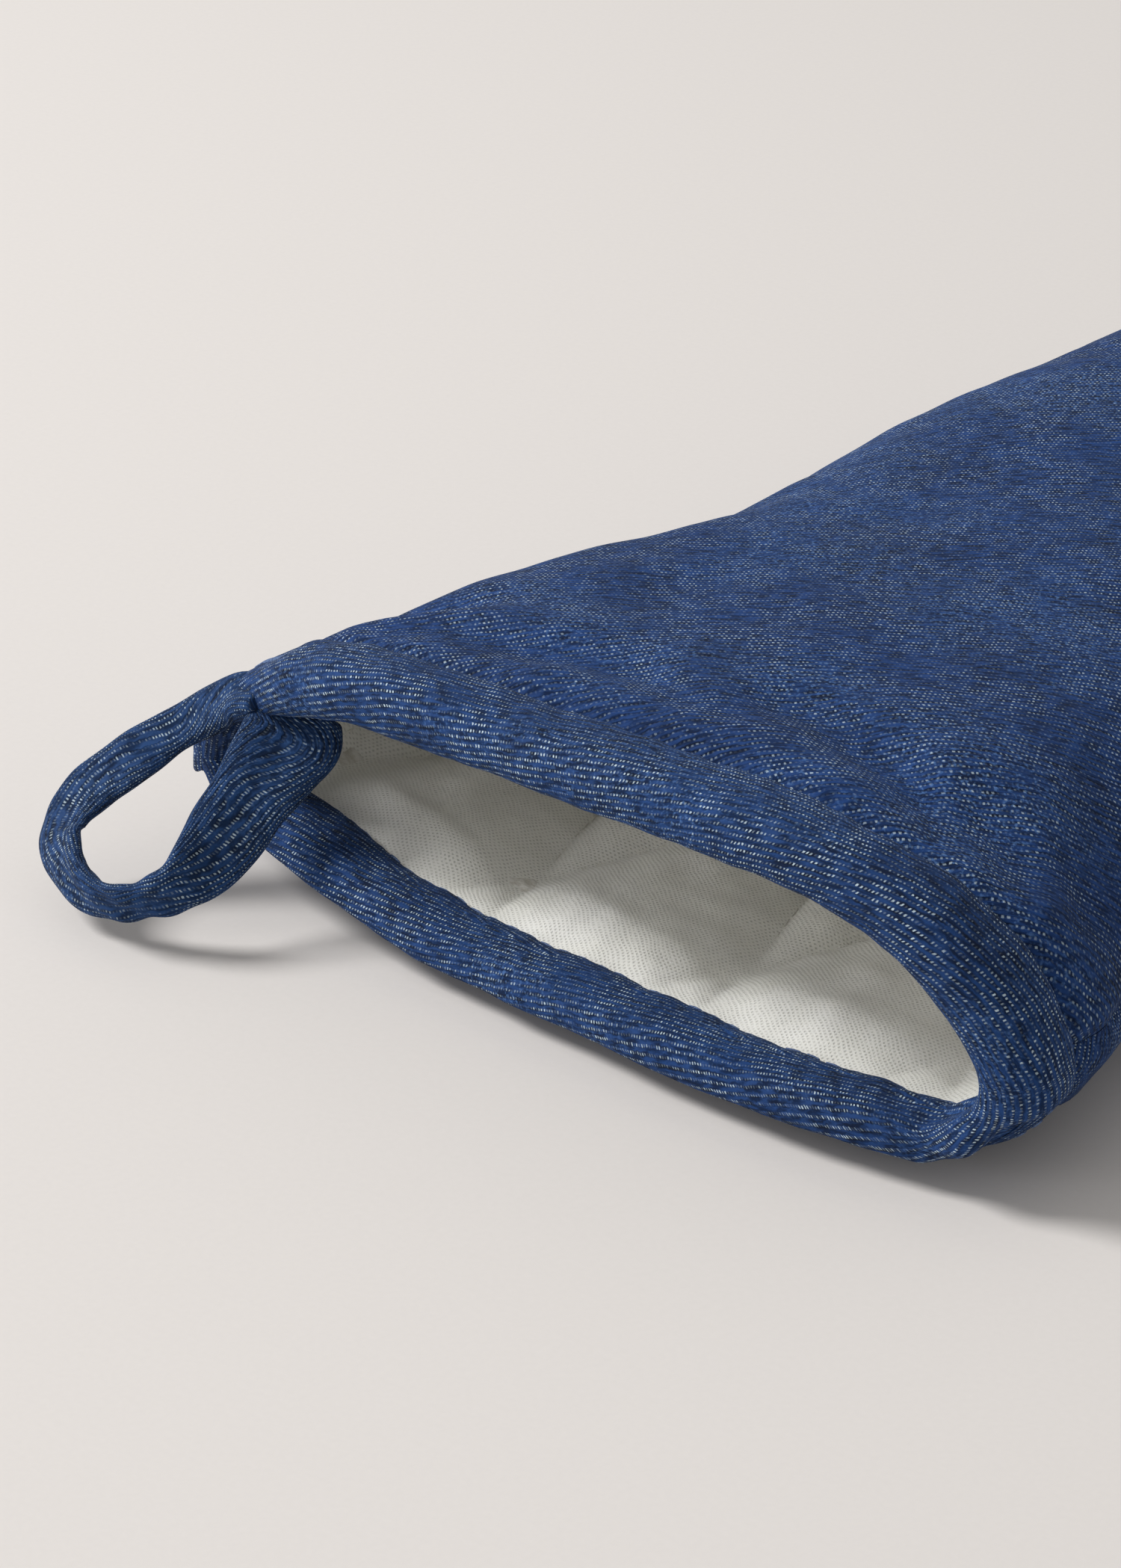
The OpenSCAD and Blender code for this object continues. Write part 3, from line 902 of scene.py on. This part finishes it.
def map_strip(bm, rows, place_of):
    """Maps a lofted skin in metres, by the place_of each corner, wrapping at the joins."""
    slot = bm.verts.layers.int["slot"]
    weave = bm.loops.layers.uv.new("weave")
    row_of = {v: i for i, row in enumerate(rows) for v in row}
    for face in bm.faces:
        slots = [v[slot] for v in face.verts]
        levels = [row_of[v] for v in face.verts]
        for corner in face.loops:
            s, r = corner.vert[slot], row_of[corner.vert]
            s_end = s == 0 and max(slots) > len(rows[0]) / 2
            r_end = r == 0 and max(levels) > len(rows) / 2
            corner[weave].uv = place_of(s, s_end, r, r_end)


def pucker(bm, amount):
    """Moves each point along its normal by what amount(point, normal) says."""
    bm.normal_update()
    moves = [(v, v.normal * amount(v.co, v.normal)) for v in bm.verts]
    for vert, move in moves:
        vert.co += move


pinch = place_on_table(Vector((0.0735, 0.0, 0.0095)))


def binding_pucker(spot, normal):
    local = spot - cuff_middle
    soft = 0.0007 * waves((local.x, 0, local.z), 0.021, 21)
    diagonal = (local.x + 0.8 * local.y, 0.35 * (local.x - local.y), local.z)
    small = 0.00045 * waves(diagonal, 0.0055, 23)
    sewn = math.exp(-(((local.y - 0.0105) / 0.004) ** 2))
    dip = (spot - pinch).length
    fold = -0.0024 * math.exp(-((dip / 0.0032) ** 2)) + 0.0008 * math.exp(-(((dip - 0.0065) / 0.003) ** 2))
    inner_puff = 0.0038 * ease((normal.z - 0.1) / 0.5) * ease((0.019 - local.z) / 0.006)
    left_end = 0.0016 * math.exp(-(((local.x + 0.070) / 0.009) ** 2)) * ease((local.z - 0.024) / 0.006)
    return soft + small * (0.6 + sewn) + fold + left_end + inner_puff


bm = bmesh.new()
rings = []
for y, depth in binding_profile:
    spots, ring_length = cuff_ring(y / 1000, depth / 1000)
    rings.append(spots)
rows, _, _ = loft(bm, rings, closed=True)
profile_run = [0.0]
for (y0, d0), (y1, d1) in zip(binding_profile, binding_profile[1:] + binding_profile[:1]):
    profile_run.append(profile_run[-1] + math.hypot(y1 - y0, d1 - d0) / 1000)


def binding_uv(s, s_end, r, r_end):
    u = ring_length * (1.0 if s_end else s / binding_sides)
    v = profile_run[-1] if r_end else profile_run[r]
    return (u, v)


map_strip(bm, rows, binding_uv)
bmesh.ops.recalc_face_normals(bm, faces=bm.faces)
pucker(bm, binding_pucker)
for vert in bm.verts:
    vert.co.z = max(vert.co.z, 0.00005)
binding = object_from(bm, "binding")
refine(binding, 1)
smooth_shade(binding)
binding_denim = denim(
    "binding_denim", -10, 0.00108, 0.00056, 0.90, 0.60, srgb(0, 6, 23), srgb(19, 60, 116), 0.00028
)
binding.data.materials.append(binding_denim)
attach(binding, "mitt")
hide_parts("cuff_binding")


# The stitching: cotton thread, each stitch a short slack bead pulled down into the cloth. The
# binding is sewn in the ditch outside and along its inner edge, and the lining is quilted.
def add_stitch(bm, start, end, out, thickness):
    """One stitch from start to end, bowed up along out."""
    along = end - start
    side = along.cross(out).normalized()
    up = side.cross(along).normalized()
    turn = Matrix((along.normalized(), side, up)).transposed().to_4x4()
    size = Matrix.Diagonal((along.length * 0.5, thickness * 0.5, thickness * 0.42, 1))
    place = Matrix.Translation((start + end) / 2)
    bmesh.ops.create_uvsphere(bm, u_segments=6, v_segments=6, radius=1, matrix=place @ turn @ size)


def sewing_thread(name, light, dark):
    """Twisted cotton thread."""
    made, tree, shader = new_material(name, 0.75)
    spot = add_node(tree, "TexCoord").outputs["Object"]
    ply = add_node(tree, "TexNoise", Vector=spot, Scale=3500.0, Detail=2.0)
    tint = add_node(
        tree,
        "Mix",
        {"data_type": "RGBA"},
        Factor=ramp(tree, ply.outputs["Fac"], 0.35, 0.65),
        at6=dark,
        at7=light,
    )
    lump = add_node(tree, "Bump", Height=ply.outputs["Fac"], Strength=0.6, Distance=0.0001)
    tree.links.new(tint.outputs[2], shader.inputs["Base Color"])
    tree.links.new(lump.outputs[0], shader.inputs["Normal"])
    return made


blue_thread = sewing_thread("blue_thread", srgb(104, 128, 168), srgb(58, 78, 120))
pale_thread = sewing_thread("pale_thread", srgb(250, 249, 242), srgb(226, 224, 215))
stitch_length = 0.0030
stitch_gap = 0.0007
stitch_share = stitch_length / (stitch_length + stitch_gap)
thread_width = 0.0005
ring_marks = 1440


def finish_stitches(bm, name, thread, node, body="mitt"):
    sewn = object_from(bm, name)
    smooth_shade(sewn)
    sewn.data.materials.append(thread)
    if body:
        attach(sewn, body)
    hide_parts(node)
    return sewn


def surface_tree(made):
    """A search tree over the mesh, to lay thread on it."""
    corners = [v.co.copy() for v in made.data.vertices]
    faces = [tuple(p.vertices) for p in made.data.polygons]
    return BVHTree.FromPolygons(corners, faces)


binding_surface = surface_tree(binding)
bm = bmesh.new()
for depth in (-0.0008, wall + 0.0008):
    line, length = cuff_ring(binding_depth + 0.0001, depth, ring_marks)
    count = int(length / (stitch_length + stitch_gap))
    for i in range(count):
        first = int(ring_marks * i / count)
        last = int(ring_marks * (i + stitch_share) / count) % ring_marks
        ends = []
        for k in (first, last):
            spot, out, _, _ = binding_surface.find_nearest(line[k])
            ends.append((spot + out * thread_width * 0.15, out))
        add_stitch(bm, ends[0][0], ends[1][0], (ends[0][1] + ends[1][1]).normalized(), thread_width)
finish_stitches(bm, "binding_stitches", blue_thread, "binding_thread")


def left_edge(y):
    """The pocket's left edge at y, fingertips included."""
    left, right = outline_at(y)
    past = max(0.0, y - (mitt_length - fingertip_round)) / fingertip_round
    return (left + right) / 2 - (right - left) / 2 * math.sqrt(max(0.0, 1 - past**2))


bm = bmesh.new()
seam_line = []
hand_side = surface_tree(bpy.data.objects["denim_back"])
for i in range(1, 300):
    y = binding_depth + (mitt_length - 0.004 - binding_depth) * i / 300
    x = left_edge(y) + 0.0016
    outside = place_on_table(Vector((x - 0.020, y, seam_z(x) + 0.0008)))
    spot, _, _, _ = hand_side.ray_cast(outside, Vector((1, 0, 0)), 0.040)
    if spot is not None:
        seam_line.append(spot)
for a, b in zip(seam_line[0::3], seam_line[2::3]):
    if (b - a).length < 0.0045:
        add_stitch(bm, a, b, Vector((-1, 0, 0)), thread_width)
finish_stitches(bm, "seam_stitches", blue_thread, "side_seam_thread")

bm = bmesh.new()
lining_side = surface_tree(bpy.data.objects["lining_back"])
for i in range(1, 260):
    y = binding_depth + 0.002 + (mitt_length - fingertip_round - binding_depth) * i / 260
    left, _ = outline_at(y)
    spots = []
    for d in (0.0, 0.0024):
        inside = place_on_table(Vector((left + 0.030, y + d, seam_z(left) + 0.0008)))
        spot, _, _, _ = lining_side.ray_cast(inside, Vector((-1, 0, 0)), 0.040)
        if spot is not None:
            spots.append(spot)
    if i % 3 == 0 and len(spots) == 2:
        add_stitch(bm, spots[0], spots[1], Vector((1, 0, 0)), thread_width)
finish_stitches(bm, "lining_seam_stitches", pale_thread, "lining_seam_thread")

for place, side in (("back", 1), ("palm", -1)):
    lining_surface = surface_tree(bpy.data.objects["lining_" + place])
    bm = bmesh.new()
    first, last = quilt_start[1], mitt_length - fingertip_round
    crossing_clear = 0.0035
    step = (stitch_length + stitch_gap) * math.cos(quilt_angle)
    for slope in (-1, 1):
        for line in range(-6, 7):
            for i in range(int((last - first) / step)):
                ends = []
                for k in (0.0, stitch_share):
                    y = first + (i + k) * step
                    x = quilt_start[0] + line * quilt_pitch + slope * quilt_lean * (y - first)
                    left, right = outline_at(y)
                    if abs(x - (left + right) / 2) > 0.85 * ((right - left) / 2 - wall):
                        continue
                    if max(quilt_lines(x, y)) < crossing_clear:
                        continue
                    start = place_on_table(Vector((x, y, seam_z(x))))
                    spot, _, _, _ = lining_surface.ray_cast(start, Vector((0, 0, side)))
                    if spot is None:
                        continue
                    ends.append((spot + Vector((0, 0, side)) * 0.00005, Vector((0, 0, -side))))
                if len(ends) == 2:
                    add_stitch(bm, ends[0][0], ends[1][0], ends[0][1], thread_width * 0.7)
    finish_stitches(bm, "quilting_" + place, pale_thread, place + "_quilting_thread")


# The hanging loop: a strip of the binding denim folded in four lengthwise and twisted into a
# loop. One end is sewn over the end of the binding, the other inside the mouth, under it.
loop_stations = (
    # x, y, z of the middle, width seen flat, turn about its length, thickness
    (-64.0, 7.5, 32.5, 9.0, 55, 5.0),
    (-70.0, 7.0, 31.0, 9.5, 50, 4.6),
    (-74.6, 5.0, 28.0, 8.6, 40, 4.0),
    (-77.9, 1.7, 25.2, 7.8, 30, 3.4),
    (-80.6, -2.1, 22.4, 8.4, 30, 3.2),
    (-83.1, -5.8, 19.7, 9.4, 32, 3.0),
    (-85.4, -9.0, 17.2, 9.6, 36, 3.0),
    (-86.7, -13.0, 14.3, 9.4, 40, 3.0),
    (-86.1, -16.1, 11.9, 9.4, 42, 3.0),
    (-84.2, -18.4, 10.2, 9.2, 44, 3.2),
    (-80.0, -20.8, 8.4, 8.6, 46, 3.4),
    (-74.6, -22.3, 7.3, 8.2, 50, 3.6),
    (-68.6, -22.6, 7.2, 7.8, 52, 3.8),
    (-64.3, -20.8, 8.4, 7.8, 48, 3.8),
    (-60.4, -18.6, 10.1, 8.6, 40, 3.6),
    (-58.2, -15.2, 12.6, 10.4, 24, 3.0),
    (-57.5, -11.2, 15.6, 11.8, 10, 2.7),
    (-57.5, -6.8, 19.2, 12.6, 2, 2.5),
    (-57.6, -2.6, 22.3, 13.2, -2, 2.4),
    (-57.8, 1.9, 25.2, 14.6, -4, 2.4),
    (-57.9, 6.2, 28.2, 15.6, -4, 2.4),
    (-59.4, 10.0, 30.6, 12.6, -4, 2.4),
)
face_to = Vector((-0.601, 0.67, -0.437))
loop_around = 24
loop_pieces = 110


def curve_value(keys, t):
    """Catmull-Rom value along rows of numbers, t from 0 to 1."""
    spot = t * (len(keys) - 1)
    i = min(int(spot), len(keys) - 2)
    f = spot - i
    p = [np.array(keys[min(max(k, 0), len(keys) - 1)], float) for k in (i - 1, i, i + 1, i + 2)]
    return 0.5 * (
        2 * p[1] + (p[2] - p[0]) * f + (2 * p[0] - 5 * p[1] + 4 * p[2] - p[3]) * f**2
        + (3 * p[1] - p[0] - 3 * p[2] + p[3]) * f**3
    )


def strip_frame(t):
    """Middle, across and out directions, width and thickness of the strip at t."""
    here = curve_value(loop_stations, t)
    ahead = curve_value(loop_stations, min(1.0, t + 0.01)) - curve_value(loop_stations, max(0.0, t - 0.01))
    tangent = Vector(ahead[:3]).normalized()
    across = tangent.cross(face_to).normalized()
    across = Matrix.Rotation(math.radians(here[4]), 3, tangent) @ across
    out = across.cross(tangent).normalized()
    return Vector(here[:3]) / 1000 + cuff_middle, across, out, here[3] / 1000, here[5] / 1000


bm = bmesh.new()
rings, strip_run, strip_girth = [], [0.0], []
for i in range(loop_pieces + 1):
    middle, across, out, width, thickness = strip_frame(i / loop_pieces)
    ring = []
    for k in range(loop_around):
        angle = 2 * math.pi * k / loop_around
        c, s = math.cos(angle), math.sin(angle)
        x = abs(c) ** 0.75 * math.copysign(1, c) * width / 2
        z = abs(s) ** 0.85 * math.copysign(1, s) * thickness / 2
        z *= 1 - 0.22 * math.exp(-(((x / width) / 0.16) ** 2))
        ring.append(middle + across * x + out * z)
    rings.append(ring)
    strip_girth.append(2 * width + 1.2 * thickness)
    centre = sum(ring, Vector()) / loop_around
    if i:
        strip_run.append(strip_run[-1] + (centre - last_centre).length)
    last_centre = centre
rows, _, _ = loft(bm, rings)


def loop_uv(s, s_end, r, r_end):
    return (strip_run[r], strip_girth[r] * (1.0 if s_end else s / loop_around))


map_strip(bm, rows, loop_uv)
cap_ends(bm)
bmesh.ops.recalc_face_normals(bm, faces=bm.faces)


def loop_pucker(spot, normal):
    local = spot - cuff_middle
    wrinkle = 0.0006 * waves(local, 0.0065, 31)
    bend_folds = 0.00025 * math.sin(local.z / 0.0009 + local.x / 0.0014)
    return wrinkle + bend_folds * ease((-0.012 - local.y) / 0.006)


pucker(bm, loop_pucker)
loop = object_from(bm, "hanging_loop_cloth")
refine(loop, 1)
smooth_shade(loop)
loop_denim = denim(
    "loop_denim", 3, 0.00085, 0.00052, 0.75, 0.45, srgb(1, 8, 25), srgb(24, 62, 112), 0.00028
)
loop.data.materials.append(loop_denim)
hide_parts("hanging_loop")
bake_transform(loop)

loop_surface = surface_tree(loop)
bm = bmesh.new()
for edge in (-1, 1):
    count = int(strip_run[-1] / (stitch_length + stitch_gap))
    for i in range(3, count - 4):
        ends = []
        for k in (0.0, stitch_share):
            middle, across, out, width, thickness = strip_frame((i + k) / count)
            spot = middle + across * edge * (width / 2 - 0.0018) + out * 0.006
            ends.append(loop_surface.find_nearest(spot))
        out = (ends[0][1] + ends[1][1]).normalized()
        add_stitch(bm, ends[0][0], ends[1][0], out, thread_width * 0.8)
loop_stitches = finish_stitches(
    bm, "loop_stitches", blue_thread, "loop_edge_thread", None
)
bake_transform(loop_stitches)

bm = bmesh.new()
for i in range(14):
    x = mix(-0.076, -0.064, i / 13)
    ends = []
    for y in (0.0028, 0.0052):
        spot, out, _, _ = binding_surface.find_nearest(place_on_table(Vector((x, y, 0.040))))
        ends.append((spot, out))
    add_stitch(bm, ends[0][0], ends[1][0], ends[0][1], thread_width)
finish_stitches(bm, "loop_tack_stitches", blue_thread, "loop_tack_thread")
